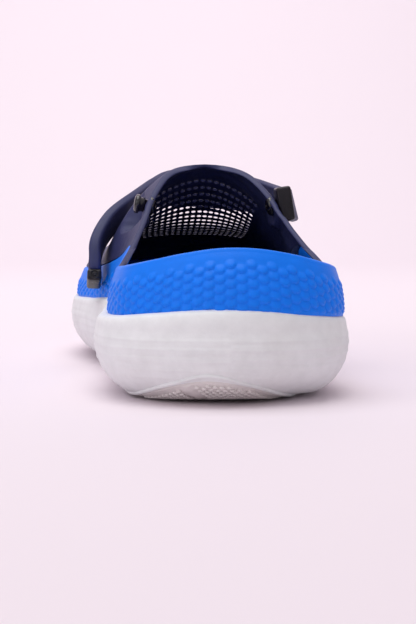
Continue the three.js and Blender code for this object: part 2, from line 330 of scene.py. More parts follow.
white_foam = surface("white foam", (231, 232, 234), 0.55, 1500, 0.06, 0.25, (208, 204, 202))
tread_rubber = surface("tread rubber", (224, 218, 217), 0.7, 1800, 0.08, 0.5, (200, 191, 188))
blue_foam = surface(
    "blue foam", (0, 122, 246), 0.45, 1500, 0.05, 0.1, (0, 96, 226), specular=0.25
)
navy_foam = surface(
    "navy foam", (44, 48, 90), 0.5, 1300, 0.09, 0.3, (58, 60, 98), specular=0.35
)
footbed_foam = surface("footbed foam", (30, 34, 66), 0.62, 1100, 0.14, 0.4, (50, 52, 84))
black_plastic = surface(
    "black plastic", (13, 11, 20), 0.2, 2200, 0.02, 0.3, (40, 34, 46), coat=0.5, spread=0.08
)
strap_plastic = surface(
    "strap end plastic", (18, 15, 22), 0.3, 2200, 0.03, 0.4, (44, 36, 46), specular=0.35
)

# %% [markdown]
# ## The sole
# The sole is one block of foam: rings of the outline, drawn in and lifted, make the bulging
# side, then the rim, and then the well in which the insole lies. The side isn't perfectly
# smooth: foam shrinks in the mould and leaves faint level wrinkles.

# %% Sole

TREAD_DROP = 0.8
side_inset = along([[0, 17.5], [0.7, 12], [3, 7.5], [7, 3.8], [12.5, 1], [19, 0], [24.5, 0.9]])
SIDE_TOP = 24.5


def heel_lift(s, z):
    return 2.6 * (1 - smooth(6, 38, s)) * (1 - smooth(0, 11, z))


def sole_ring(inset, height, lift=1.0, base=TREAD_DROP):
    plan = outline + outline_in * np.asarray(inset, float).reshape(-1, 1)
    level = height + heel_lift(plan[:, 1], height) * (base > 0)
    return np.column_stack([plan, level + spring(outline[:, 1]) * lift + base])


def wrinkle(z, u):
    wave = 0.10 * np.sin(z * 1.9 + 1.5 * np.sin(u * 0.021) + 0.4 * np.sin(u * 0.083))
    wave += 0.05 * np.sin(z * 4.3 + 2.1 * np.sin(u * 0.034))
    return wave * smooth(6, 10, z) * (1 - smooth(21, 24, z))


around = np.arange(len(outline)) * perimeter / len(outline)
top_edge = sole_top(outline[:, 1]) - spring(outline[:, 1]) - TREAD_DROP
rings = []
for z in np.concatenate([np.linspace(0, 3, 9), np.linspace(3.6, SIDE_TOP, 46)]):
    rings.append(sole_ring(side_inset(z) + wrinkle(z, around), z))
for k in range(1, 9):
    t = k / 8
    bend = math.sin(t * math.pi / 2)
    rings.append(sole_ring(0.9 + 2.5 * (1 - math.cos(t * math.pi / 2)),
                           SIDE_TOP + (top_edge - 0.4 - SIDE_TOP) * bend))
rings.append(sole_ring(3.9, top_edge - 0.1))
rings.append(sole_ring(5, top_edge))
for inset, drop in ((9, 0), (10.4, 0.1), (11.4, 0.6), (11.9, 1.4), (12, 2.5)):
    rings.append(sole_ring(inset, top_edge - drop))
rings.append(sole_ring(12, 17.2, 0.8, 0.7))
sole_points = np.vstack(rings)
width = len(outline)
sole_faces = tube_faces(len(rings), width)
sole_faces += ladder(width, 0, flip=False)
sole_faces += ladder(width, (len(rings) - 1) * width, flip=True)

# %% [markdown]
# The back of the sole lifts in a bevel, and the heel tread wraps up it. A smooth raised lip of
# the same white foam frames the tread there, so the sole's mesh gets a roll along that oval.

# %% Heights of the underside

TREADS = {
    "heel_tread": {"x": -4, "s": 52, "half_w": 29.5, "half_l": 48.3},
    "forefoot_tread": {"x": -4, "s": 190, "half_w": 42, "half_l": 62},
}
side_rise = along([[0, 14.5], [1, 12.5], [3.8, 7], [7.5, 3], [12, 0.7], [17.5, 0], [60, 0]])
outline_probe = even(outline_fine, 720)


def under(x, s):
    spots = np.column_stack([np.ravel(x), np.ravel(s)])
    near = np.empty(len(spots))
    for k in range(0, len(spots), 4000):
        gap = spots[k : k + 4000, None, :] - outline_probe[None]
        near[k : k + 4000] = np.sqrt((gap**2).sum(2).min(1))
    rise = side_rise(near)
    return rise + heel_lift(spots[:, 1], rise) + spring(spots[:, 1])


def oval(tread, scale, angle):
    x = tread["x"] + (tread["half_w"] + scale) * np.cos(angle)
    s = tread["s"] + (tread["half_l"] + scale) * np.sin(angle)
    return x, s


def roll(path, outward, radius, lift, sides):
    points = []
    for k in range(sides):
        a = 2 * math.pi * k / sides
        points.append(path + outward * (radius * math.cos(a)) + lift * (math.sin(a) * radius))
    return np.stack(points, 1).reshape(-1, 3)


def oval_frame(tread, scale, count):
    angle = 2 * math.pi * np.arange(count) / count
    x, s = oval(tread, scale, angle)
    height = under(x, s)
    x2, s2 = oval(tread, scale + 0.5, angle)
    step = np.column_stack([x2, s2, under(x2, s2)]) - np.column_stack([x, s, height])
    outward = step / np.linalg.norm(step, axis=1)[:, None]
    path = np.column_stack([x, s, height])
    forward = np.roll(path, -1, 0) - np.roll(path, 1, 0)
    forward /= np.linalg.norm(forward, axis=1)[:, None]
    return path, outward, np.cross(forward, outward)


LIP_SIDES = 10
LIP_STEPS = 240
LIP_GAP = 1.2
LIP_R = 0.8
LIP_SINK = 0.8
for tread in TREADS.values():
    path, outward, down = oval_frame(tread, LIP_GAP, LIP_STEPS)
    lip = roll(path + np.array([0, 0, LIP_SINK]), outward, LIP_R, down, LIP_SIDES)
    sole_faces += tube_faces(LIP_STEPS, LIP_SIDES, closed_along=True, first=len(sole_points))
    sole_points = np.vstack([sole_points, lip])
make("sole_foam", sole_points, sole_faces, white_foam, "clog", ["sole"])

# %% [markdown]
# ## The treads
# Each tread is a thin plate that follows the underside. Its grip comes from hundreds of small
# raised dots in staggered rows. They are real domes, because light has to catch each one.

# %% Treads

DOT_PITCH = 2.35
DOT_RADIUS = 0.9
BAR_START = np.array([-17.0, 4.0])
BAR_END = np.array([-9.5, 15.0])
BAR_HALF = 1.9
BAR_RISE = 0.7
PLATE_THICK = 1.6
SLOPE_STEP = 0.3
PLATE_FLAT = 0.45
PLATE_BEVEL = 0.2
DOT_RISE = 0.8


def bar_distance(x, s):
    line = BAR_END - BAR_START
    spot = np.column_stack([x, s]) - BAR_START
    t = np.clip(spot @ line / (line @ line), -0.2, 1)
    return np.linalg.norm(spot - t[:, None] * line, axis=1)


def on_bevel(x, s):
    """0 where the underside is flat on the ground, 1 where it lifts away from it."""
    return smooth(0.3, 1.5, under(x, s))


def plate(x, s):
    return under(x, s) + PLATE_FLAT + (PLATE_BEVEL - PLATE_FLAT) * on_bevel(x, s)


def make_tread(name, tread):
    rim = 144
    count = 40
    points = []
    angle = 2 * math.pi * np.arange(rim) / rim
    for k in range(count, 0, -1):
        t = math.sin(math.pi / 2 * k / count)
        x = tread["x"] + tread["half_w"] * t * np.cos(angle)
        s = tread["s"] + tread["half_l"] * t * np.sin(angle)
        bar = BAR_RISE * (1 - smooth(BAR_HALF - 0.6, BAR_HALF, bar_distance(x, s)))
        if name != "heel_tread":
            bar = 0
        points.append(np.column_stack([x, s, plate(x, s) - bar]))
    top = points[0] + np.array([0, 0, PLATE_THICK])
    stack = np.vstack([top] + points)
    faces = tube_faces(count + 1, rim)
    faces = [f[::-1] for f in faces]
    centre = np.array([[tread["x"], tread["s"], plate([tread["x"]], [tread["s"]])[0]]])
    roof = centre + np.array([0, 0, PLATE_THICK])
    base = count * rim
    stack = np.vstack([stack, centre, roof])
    for c in range(rim):
        faces.append((base + c, base + (c + 1) % rim, len(stack) - 2))
        faces.append(((c + 1) % rim, c, len(stack) - 1))
    line = np.linspace(tread["s"] - tread["half_l"], tread["s"] + tread["half_l"], 600)
    level = under(np.full(600, float(tread["x"])), line)
    walked = np.concatenate([[0], np.cumsum(np.hypot(np.diff(line), np.diff(level)))])
    row_gap = DOT_PITCH * 0.78
    spots = []
    for r in range(1, int(walked[-1] / row_gap)):
        s = np.interp(r * row_gap, walked, line)
        columns = int(tread["half_w"] / DOT_PITCH) + 1
        for c in range(-columns, columns + 1):
            x = tread["x"] + (c + 0.5 * (r % 2)) * DOT_PITCH
            a = (x - tread["x"]) / (tread["half_w"] - 1.6)
            b = (s - tread["s"]) / (tread["half_l"] - 0.6)
            if a * a + b * b < 1:
                spots.append((x, s))
    spots = np.array(spots)
    if name == "heel_tread":
        spots = spots[bar_distance(spots[:, 0], spots[:, 1]) > BAR_HALF + DOT_RADIUS]
    x, s = spots.T
    across = (under(x + SLOPE_STEP, s) - under(x - SLOPE_STEP, s)) / (2 * SLOPE_STEP)
    forward = (under(x, s + SLOPE_STEP) - under(x, s - SLOPE_STEP)) / (2 * SLOPE_STEP)
    normal = np.column_stack([across, forward, -np.ones(len(x))])
    normal /= np.linalg.norm(normal, axis=1)[:, None]
    side = np.cross(np.tile([0, 1.0, 0], (len(x), 1)), normal)
    side /= np.linalg.norm(side, axis=1)[:, None]
    other = np.cross(normal, side)
    foot = np.column_stack([x, s, plate(x, s)])
    low = PLATE_FLAT / DOT_RISE - 0.002
    tall = normal * (low + (1 - low) * on_bevel(x, s))[:, None]
    sides = 8
    dots = []
    for radius, rise in ((1.0, -0.25), (0.86, 0.5), (0.5, 0.75)):
        for k in range(sides):
            a = 2 * math.pi * k / sides
            dots.append(foot + side * (DOT_RADIUS * radius * math.cos(a) * 1.12)
                        + other * (DOT_RADIUS * radius * math.sin(a) * 0.85) + tall * rise)
    dots.append(foot + tall * DOT_RISE)
    dots.append(foot - tall * 0.3)
    dots = np.stack(dots, 1)
    start = len(stack)
    each = dots.shape[1]
    stack = np.vstack([stack, dots.reshape(-1, 3)])
    for d in range(len(spots)):
        first = start + d * each
        crest = first + 2 * sides
        faces += [f[::-1] for f in tube_faces(3, sides, first=first)]
        for k in range(sides):
            faces.append((crest + (k + 1) % sides, crest + k, first + 3 * sides))
            faces.append((first + k, first + (k + 1) % sides, first + 3 * sides + 1))
    print(name, len(spots), "dots")
    return make(name + "_rubber", stack, faces, tread_rubber, "clog", [name])


for name, tread in TREADS.items():
    make_tread(name, tread)

# %% [markdown]
# ## The dome of the upper
# From each point of the outline a curve climbs inwards to the ridge over the instep. The wall
# is the space between two such domes, one 4.6 mm inside the other. Where a height limit cuts
# the dome, such as the rim of the opening, the cut is found by stepping towards it.

# %% Dome

WALL = 4.6
GAP = 0.3
RIDGE_START = 44
RIDGE_END = 258
OPENING_END = 133
PIVOT = np.array(frame["joints"][0]["pos_m"]) / MM - SHIFT
PIVOT_AXIS = np.array(frame["joints"][0]["axis"])
print("strap pivot", PIVOT.round(2), PIVOT_AXIS.round(3))


def step_in(plan):
    flare = 0.6 - 1.6 * np.clip(plan[:, 0] / 30, -1, 1)
    return 3 + np.clip((150 - plan[:, 1]) / 50, 0, 1) * flare


def base_loop(skin):
    return outline + outline_in * (step_in(outline) + skin)[:, None]


def dome_at(base, skin, climb):
    s = base[:, 1]
    ridge = np.clip(s, RIDGE_START, RIDGE_END)
    ridge_x = 1 - 2 * np.clip((ridge - RIDGE_START) / 90, 0, 1)
    power = 2 / roundness(ridge)
    foot = sole_top(s)
    up = np.clip(climb, 0, 1)
    sine = up ** (1 / power)
    keep = np.sqrt(np.maximum(0, 1 - sine**2)) ** power
    x = ridge_x + (base[:, 0] - ridge_x) * keep
    z = foot + (crown(ridge) - skin - foot) * np.where(climb < 0, climb, up)
    return np.column_stack([x, ridge + (s - ridge) * keep, z])


def climb_to(base, skin, height):
    foot = sole_top(base[:, 1])
    top = crown(np.clip(base[:, 1], RIDGE_START, RIDGE_END)) - skin
    return (height - foot) / (top - foot)


def cut(base, skin, limit, lower=0.0):
    height = limit(base[:, 1]) - lower
    for _ in range(60):
        spot = dome_at(base, skin, climb_to(base, skin, height))
        height = 0.6 * height + 0.4 * (limit(spot[:, 1]) - lower)
    return np.clip(climb_to(base, skin, height), 0, 1)


def collar_limit(s):
    rear = np.minimum(topline(s), 80)
    front = np.minimum(parting(s), topline(s))
    step = smooth(53.2, 54.0, s)
    return rear * (1 - step) + front * step


def pivot_sides(points):
    """Along-axis and across-axis distances to each side's strap pivot, and the two axes."""
    sides = []
    for sign in (1, -1):
        origin = PIVOT * [sign, 1, 1]
        axis = PIVOT_AXIS * [sign, 1, 1]
        away = points - origin
        t = away @ axis
        rho = np.linalg.norm(away - t[:, None] * axis, axis=1)
        sides.append((t, rho, axis))
    return sides


END_ROOM = 3.3
ARM_ROOM = 2.8


def press_in(points, thickness):
    """Sinks the wall round each pivot, so that the strap's end and arm have room to turn."""
    for t, rho, axis in pivot_sides(points):
        near = -END_ROOM - thickness
        far = -ARM_ROOM - thickness
        limit = near + (far - near) * smooth(9.3, 10.3, rho)
        limit = limit + 40 * smooth(18, 24, rho) ** 2
        behind = np.maximum(0, PIVOT[1] - points[:, 1])
        swept = np.where(behind > 0, 61.2 + 0.21 * behind, 61)
        limit = limit + 8 * smooth(0, 5, swept - points[:, 2]) * smooth(8, 9.5, rho)
        push = np.where(t > -25, np.minimum(0, limit - t), 0)
        points = points + push[:, None] * axis
    return points


# %% [markdown]
# ## The heel collar
# The blue collar is one loop of foam round the whole foot. Its rim is smooth and rounded, and
# below it the wall is covered in small scale-like bumps: columns 4.1 mm apart, each second
# column half a bump lower. Each bump rises towards its lower edge and then drops, so the light
# from above draws a dark crescent under it.

# %% Collar

BUMP_DOWN = 3.35
COLUMN_COUNT = 2 * round(perimeter / 4.1 / 2)
RIM_R = 2.0


def scales(along_mm, down_mm, loop_length):
    wide = loop_length / COLUMN_COUNT
    column = np.round(along_mm / wide)
    across = (along_mm - column * wide) / (wide * 0.5)
    shifted = down_mm - (column % 2) * BUMP_DOWN / 2
    row = np.round(shifted / BUMP_DOWN)
    depth = (shifted - row * BUMP_DOWN) / (BUMP_DOWN * 0.5)
    inside = np.maximum(0, 1 - np.abs(across) ** 2.2 - np.abs(depth) ** 2.2)
    centre = row * BUMP_DOWN + (column % 2) * BUMP_DOWN / 2
    shown = smooth(5.0, 6.2, centre)
    return shown * inside**0.5 * (0.5 + 0.42 * depth)


def grid_normals(grid):
    along_u = np.roll(grid, -1, 1) - np.roll(grid, 1, 1)
    along_v = np.gradient(grid, axis=0)
    normal = np.cross(along_u, along_v)
    return normal / np.maximum(np.linalg.norm(normal, axis=2), 1e-9)[..., None]


COLLAR_COLUMNS = 1440
OUTER_ROWS = 72
outer_base = base_loop(0)
beside = smooth(34, 54, outline[:, 1]) * (1 - smooth(120, 150, outline[:, 1]))
collar_skin = WALL - 2.3 * beside
inner_base = outline + outline_in * (step_in(outline) + collar_skin)[:, None]
outer_cut = cut(outer_base, 0, collar_limit, RIM_R)
inner_cut = cut(inner_base, collar_skin, collar_limit, RIM_R)
low = climb_to(outer_base, 0, sole_top(outer_base[:, 1]) - 0.6)
v = np.linspace(0, 1, OUTER_ROWS)[:, None]
outer_grid = np.stack([dome_at(outer_base, 0, low + k * (outer_cut - low)) for k in v[:, 0]])
shape = outer_grid.shape
steps = np.linalg.norm(np.diff(outer_grid, axis=0), axis=2)
down = np.concatenate([np.cumsum(steps[::-1], 0)[::-1], np.zeros((1, shape[1]))]) + RIM_R
round_the_foot = np.arange(COLLAR_COLUMNS) * perimeter / COLLAR_COLUMNS
bump = scales(round_the_foot[None] + 0 * down, down, perimeter)
bump *= smooth(-0.4, 0.8, outer_grid[..., 2] - sole_top(outer_grid[..., 1]))
normal = grid_normals(outer_grid)
if (normal[5, 0] @ [0, -1, 0]) < 0:
    normal = -normal
outer_grid = outer_grid + normal * (bump[..., None] - 0.12 * smooth(3.5, 7, down)[..., None])
inner_rows = 14
inner_low = climb_to(inner_base, collar_skin, sole_top(inner_base[:, 1]) - 1.2)
w = np.linspace(1, 0, inner_rows)
inner_grid = np.stack([dome_at(inner_base, collar_skin, inner_low + k * (inner_cut - inner_low))
                       for k in w])
lip_rows = []
for k in range(1, 8):
    a = math.pi * k / 8
    middle = (outer_grid[-1] + inner_grid[0]) / 2
    half = (outer_grid[-1] - inner_grid[0]) / 2
    lip_rows.append(middle + half * math.cos(a) + np.array([0, 0, RIM_R * math.sin(a)]))
collar_rings = np.concatenate([outer_grid, np.stack(lip_rows), inner_grid])
collar_points = collar_rings.reshape(-1, 3)
collar_faces = tube_faces(len(collar_rings), COLLAR_COLUMNS, closed_along=True)
make("collar_foam", collar_points, collar_faces, blue_foam, "clog", ["collar"])

# %% [markdown]
# ## The upper
# The navy upper is one skin over the instep and the toes. Its grid has a row every 1.85 mm
# along the foot, and its columns run from the collar over the ridge and down the other side.
# In front of the opening, each third row has a vent hole at every second column. The holes
# slant through the thinned wall, and a subdivision modifier then rounds everything.

# %% Upper grid

ROW_STEP = 1.85
HALF_COLUMNS = 40
TOE_ROWS = 56
UPPER_START = 54.3
MOUTH_R = 0.8


def lower_limit(s):
    return parting(s) + GAP


def side_base(skin, stations):
    loop = base_loop(skin)
    toe = np.argmax(loop[:, 1])
    medial = loop[:toe]
    lateral = loop[toe:][::-1]
    result = []
    for half in (medial, lateral):
        order = np.argsort(half[:, 1])
        x = np.interp(stations, half[order, 1], half[order, 0])
        result.append(np.column_stack([x, stations]))
    keep = loop[:, 1] >= stations[-1]
    arc = loop[keep]
    start = np.argmin(np.linalg.norm(arc - result[0][-1], axis=1))
    arc = np.vstack([result[0][-1:], np.roll(arc, -start, 0)[1:-1], result[1][-1:]])
    return result[0], result[1], even(arc, TOE_ROWS + 2, closed=False)[1:-1]


def spread(base, skin, limit_top):
    """Rows of evenly spaced points from the collar's edge to the ridge, or to the opening."""
    start = cut(base, skin, lower_limit)
    end = np.ones(len(base))
    if limit_top is not None:
        end = np.where(base[:, 1] < OPENING_END, limit_top, 1)
    angles = np.linspace(0, 1, 240)
    power = 2 / roundness(np.clip(base[:, 1], RIDGE_START, RIDGE_END))
    a0 = np.arcsin(start ** (1 / power))
    a1 = np.arcsin(np.clip(end, 0, 1) ** (1 / power))
    path = []
    for t in angles:
        path.append(dome_at(base, skin, np.sin(a0 + (a1 - a0) * t) ** power))
    path = np.stack(path, 1)
    rows = []
    for line in path:
        rows.append(even(line, HALF_COLUMNS + 1, closed=False))
    return np.stack(rows)


stations = np.concatenate([[UPPER_START], np.arange(56, RIDGE_END + 0.1, ROW_STEP)])
stations[-1] = RIDGE_END
K = len(stations)
layers = []
for skin in (0.0, WALL):
    medial, lateral, toe = side_base(skin, stations)
    tops = [cut(b, skin, topline, MOUTH_R) for b in (medial, lateral)]
    layers.append((spread(medial, skin, tops[0]), spread(lateral, skin, tops[1]),
                   spread(toe, skin, None)))
print("upper rows", K)

# %% Upper mesh with vent holes

SPLIT = int(np.sum(stations < OPENING_END))
VENT_FIRST = 148
VENT_LAST = 226
VENT_HALF = 18
VENT_LONG = 1.25
VENT_WIDE = 1.05
VENT_SKIN = 1.4
points = []
layer_index = []
for medial, lateral, toe in layers:
    index = {}
    for k in range(K):
        for c in range(HALF_COLUMNS + 1):
            index["m", k, c] = len(points)
            points.append(medial[k, c])
        for c in range(HALF_COLUMNS + 1):
            if c == HALF_COLUMNS and k >= SPLIT:
                index["l", k, c] = index["m", k, c]
            else:
                index["l", k, c] = len(points)
                points.append(lateral[k, c])
    for k in range(TOE_ROWS):
        for c in range(HALF_COLUMNS + 1):
            if c == HALF_COLUMNS:
                index["t", k, c] = index["m", K - 1, c]
            else:
                index["t", k, c] = len(points)
                points.append(toe[k, c])
    layer_index.append(index)


def at(index, k, c):
    if c <= HALF_COLUMNS:
        return index["m", k, c]
    return index["l", k, 2 * HALF_COLUMNS - c]


faces = []
vent_rows = [k for k in range(3, K - 2, 3) if VENT_FIRST < stations[k] < VENT_LAST]
vents = []
for k in vent_rows:
    for c in range(HALF_COLUMNS - VENT_HALF, HALF_COLUMNS + VENT_HALF + 1, 2):
        vents.append((k, c))
inner_vents = [(k - 2, c) for k, c in vents]


def cells_round(spots):
    cells = set()
    for k, c in spots:
        cells.update([(k - 1, c - 1), (k - 1, c), (k, c - 1), (k, c)])
    return cells


AROUND = [(-1, -1), (-1, 0), (-1, 1), (0, 1), (1, 1), (1, 0), (1, -1), (0, -1)]
hole_rings = []
ring_spokes = []
for number, index in enumerate(layer_index):
    flip = number == 1
    own_vents = inner_vents if flip else vents
    in_vent = cells_round(own_vents)

    def add(face):
        face = list(dict.fromkeys(face))
        if len(face) > 2:
            faces.append(tuple(face[::-1] if flip else face))

    for k in range(K - 1):
        for c in range(2 * HALF_COLUMNS):
            if (k, c) in in_vent:
                continue
            if c < HALF_COLUMNS:
                add([index["m", k, c], index["m", k + 1, c], index["m", k + 1, c + 1],
                     index["m", k, c + 1]])
            else:
                d = 2 * HALF_COLUMNS - c
                add([index["l", k, d], index["l", k + 1, d], index["l", k + 1, d - 1],
                     index["l", k, d - 1]])
    rows = [("m", K - 1)] + [("t", k) for k in range(TOE_ROWS)] + [("l", K - 1)]
    for (side_a, a), (side_b, b) in zip(rows, rows[1:]):
        for c in range(HALF_COLUMNS):
            add([index[side_a, a, c], index[side_b, b, c], index[side_b, b, c + 1],
                 index[side_a, a, c + 1]])
    rings = []
    for k, c in own_vents:
        ring = []
        for dk, dc in AROUND:
            ring.append(len(points))
            ring_spokes.append((len(points), index, k, c, dk, dc))
            points.append(np.zeros(3))
        for e in range(8):
            f = (e + 1) % 8
            square_e = at(index, k + AROUND[e][0], c + AROUND[e][1])
            square_f = at(index, k + AROUND[f][0], c + AROUND[f][1])
            add([square_e, ring[e], ring[f], square_f])
        rings.append(ring)
    hole_rings.append(rings)
for outer, inner in zip(*hole_rings):
    for e in range(8):
        f = (e + 1) % 8
        faces.append((outer[e], inner[e], inner[f], outer[f]))
print(len(vents), "vent holes")

# %% Upper rims


def border(index):
    last = HALF_COLUMNS
    loop = [("m", k, 0) for k in range(K)] + [("t", k, 0) for k in range(TOE_ROWS)]
    loop += [("l", k, 0) for k in range(K - 1, -1, -1)]
    loop += [("l", 0, c) for c in range(1, last)]
    loop += [("l", k, last) for k in range(SPLIT)]
    loop += [("m", k, last) for k in range(SPLIT, -1, -1)]
    loop += [("m", 0, c) for c in range(last - 1, 0, -1)]
    return loop


def inward_neighbour(key):
    side, k, c = key
    if c == 0:
        return side, k, 1
    if c == HALF_COLUMNS:
        if side == "m" and k == SPLIT:
            return side, k + 1, c
        return side, k, c - 1
    return side, 1, c


points = np.array(points, float)
outer_index, inner_index = layer_index
keys = border(outer_index)
outer_ids = np.array([outer_index[key] for key in keys])
inner_ids = np.array([inner_index[key] for key in keys])
next_ids = np.array([outer_index[inward_neighbour(key)] for key in keys])
outer_all = set(outer_index.values())
outer_all.update(i for ring in hole_rings[0] for i in ring)
outer_all = np.array(sorted(outer_all))
inner_all = np.array(sorted(set(range(len(points))) - set(outer_all)))
points[outer_all] = press_in(points[outer_all], 0)
points[inner_all] = press_in(points[inner_all], 3.2)

# The wall thins towards the rim of the opening and under the vents.
mouth = points[outer_ids[[key[2] == HALF_COLUMNS for key in keys]]]
for key, number in outer_index.items():
    side, k, c = key
    inner_number = inner_index[key]
    skin = points[inner_number] - points[number]
    to_rim = np.linalg.norm(mouth - points[number], axis=1).min()
    thin = 0.52 * (1 - smooth(2, 18, to_rim))
    thickness = np.linalg.norm(skin)
    wanted = thickness * (1 - thin)
    if side != "t":
        station = stations[k]
        middle = smooth(VENT_FIRST - 12, VENT_FIRST - 4, station)
        middle *= 1 - smooth(VENT_LAST + 2, VENT_LAST + 12, station)
        middle *= 1 - smooth(VENT_HALF + 2, VENT_HALF + 9, HALF_COLUMNS - c)
        wanted += (VENT_SKIN - wanted) * middle
    points[inner_number] = points[number] + skin * (wanted / max(thickness, 1e-6))
for number, index, k, c, dk, dc in ring_spokes:
    centre = points[at(index, k, c)]
    spot = centre.copy()
    share = 1 / math.sqrt(abs(dk) + abs(dc))
    if dk:
        way = points[at(index, k + dk, c)] - centre
        spot += way / np.linalg.norm(way) * VENT_LONG * share
    if dc:
        way = points[at(index, k, c + dc)] - centre
        spot += way / np.linalg.norm(way) * VENT_WIDE * share
    points[number] = spot
outward = points[outer_ids] - points[next_ids]
outward /= np.linalg.norm(outward, axis=1)[:, None]
is_top = np.array([key[2] == HALF_COLUMNS for key in keys])
is_start = np.array([0 < key[2] < HALF_COLUMNS for key in keys])
reach = np.where(is_top, MOUTH_R, np.where(is_start, 0.1, 0.25))
outward[is_top] = np.array([0, 0, 1.0])
tip = keys.index(("m", SPLIT, HALF_COLUMNS))
outward[tip] = np.array([0, -0.9, 0.42])
rim_points = []
for k in range(1, 6):
    a = math.pi * k / 6
    middle = (points[outer_ids] + points[inner_ids]) / 2
    half = (points[outer_ids] - points[inner_ids]) / 2
    rim_points.append(middle + half * math.cos(a) + outward * (reach * math.sin(a))[:, None])
first = len(points)
count = len(keys)
points = np.vstack([points] + rim_points)
chain = [outer_ids] + [first + count * k + np.arange(count) for k in range(5)] + [inner_ids]
for a, b in zip(chain, chain[1:]):
    for e in range(count):
        f = (e + 1) % count
        face = list(dict.fromkeys([int(a[e]), int(a[f]), int(b[f]), int(b[e])]))
        if len(face) > 2:
            faces.append(tuple(face))
used = sorted({i for face in faces for i in face})
renumber = {old: new for new, old in enumerate(used)}
faces = [tuple(renumber[i] for i in face) for face in faces]
upper = make("upper_foam", points[used], faces, navy_foam, "clog", ["upper"])
rounding = upper.modifiers.new("rounding", "SUBSURF")
rounding.levels = 1
rounding.render_levels = 1

# %% [markdown]
# ## The footbed
# The insole is a thin soft pad that lies in the well of the sole. Its edge is rolled and its
# middle is a little lower, so that the heel sits in a shallow cup.

# %% Footbed

pad_rings = []
for inset, z in ((13.4, 18.4), (12.5, 18.9), (12.4, 20), (12.4, 22), (12.6, 23.1), (13.2, 23.8),
                 (14.2, 24.0), (15.6, 23.8), (17.5, 23.4), (19.5, 23.0)):
    pad_rings.append(sole_ring(inset, z, 0.8, 0))
edge = pad_rings[-1]
half_way = len(outline)
mirror = edge[(half_way - np.arange(half_way)) % half_way]
axis_line = (edge + mirror) / 2 - np.array([0, 0, 0.7])
for t in (0.15, 0.35, 0.6, 0.8, 0.95):
    dip = axis_line * t + edge * (1 - t)
    pad_rings.append(dip)
pad_points = np.vstack([r[::3] for r in pad_rings])
pad_width = len(outline) // 3
pad_faces = tube_faces(len(pad_rings), pad_width)
pad_faces += ladder(pad_width, (len(pad_rings) - 1) * pad_width)
pad_faces += ladder(pad_width, 0, flip=True)
footbed = make("footbed_pad", pad_points, pad_faces, footbed_foam, "clog",
               ["footbed"])

# %% [markdown]
# ## Buttons and studs
# A button inside each wall carries a shank through the wall and a stud outside it. The strap's
# end snaps onto the stud and turns on it. All of them are turned about the pivot's axis, which
# comes from the CAD joint.

# %% Turned pieces


def side_frame(sign):
    origin = PIVOT * [sign, 1, 1]
    axis = PIVOT_AXIS * [sign, 1, 1]
    along_foot = np.array([0, 1.0, 0])
    up = np.cross(axis, along_foot)
    return origin, axis, along_foot, up / np.linalg.norm(up)


def lathe(name, profile, place, material, body, node, sides=48):
    origin, axis, first, second = place
    angle = 2 * math.pi * np.arange(sides) / sides
    rings = []
    for r, t in profile:
        ring = origin + axis * t
        rings.append(ring + r * (np.cos(angle)[:, None] * first + np.sin(angle)[:, None] * second))
    rings = np.vstack(rings)
    faces = tube_faces(len(profile), sides)
    faces.append(tuple(range(sides))[::-1])
    faces.append(tuple(range((len(profile) - 1) * sides, len(profile) * sides)))
    return make(name, rings, faces, material, body, [node])


def arc(r0, t0, r1, t1, count=6):
    """A quarter round from (r0, t0) on the axis side to (r1, t1) at the edge."""
    steps = np.linspace(0, math.pi / 2, count)
    return [(r0 + (r1 - r0) * math.sin(a), t1 + (t0 - t1) * math.cos(a)) for a in steps]


button_profile = arc(0.05, -7.8, 4.0, -5.8, 12) + [(4.0, -5.3), (3.9, -5.2), (2.3, -5.2),
                                                   (2.3, -2.1)]
stud_profile = [(2.6, -3.0), (2.9, -3.0), (2.9, -1.6), (3.2, -1.1), (3.75, -0.8), (3.9, -0.5),
                (3.9, 0.1), (3.8, 0.5), (3.3, 0.9)] + arc(0.05, 1.3, 3.0, 1.0, 6)[::-1]
for side, sign in (("right", 1), ("left", -1)):
    place = side_frame(sign)
    lathe(f"button_{side}_cap", button_profile, place, black_plastic, "clog",
          f"button_{side}")
    lathe(f"stud_{side}_post", stud_profile, place, black_plastic, "clog",
          f"stud_{side}")

# %% [markdown]
# ## The heel strap
# The strap is one band of navy foam on a long curve: up from the right stud, forward and over
# the instep, and down beside the left wall. Its section is a flat bar with soft edges, and it
# is widest in the middle. At each end a black block takes the stud.

# %% Strap

STRAP_LINE = [[30, 109, 69], [31.4, 119, 69], [35.2, 133, 69], [37.5, 152, 69], [35, 178, 71],
              [22, 199, 75], [2, 207, 77.5], [-14, 200, 77.5], [-25, 180, 73.5],
              [-34.2, 158, 67.2], [-43, 143, 59], [-47.2, 133.5, 50.5], [-47.9, 129.7, 42.5],
              [-48, 127, 34.5]]
CAP_LONG = 12.0
CAP_WIDE = 14.0
CAP_THICK = 6.0
strap_lean = along([[0, math.radians(9)], [0.3, 0.3], [0.5, 0.2], [0.75, 0.5], [1, 0.3]])
strap_width = along([[0, 14], [0.25, 15], [0.5, 18], [0.75, 15], [1, 14]])
strap_thick = along([[0, 4.4], [0.25, 3.6], [0.7, 3.6], [1, 5.4]])
strap_path = even(catmull(STRAP_LINE, False, 80), 801, closed=False)
strap_length = np.linalg.norm(np.diff(strap_path, axis=0), axis=1).sum()
CAP_REACH = (CAP_LONG / 2 + 3 * GAP) / strap_length
FREE_END = 1 - CAP_REACH
TIP_LONG = 4.8
FOAM_END = FREE_END + (CAP_LONG / 2 - TIP_LONG) / strap_length
print("strap", round(strap_length), "mm long")


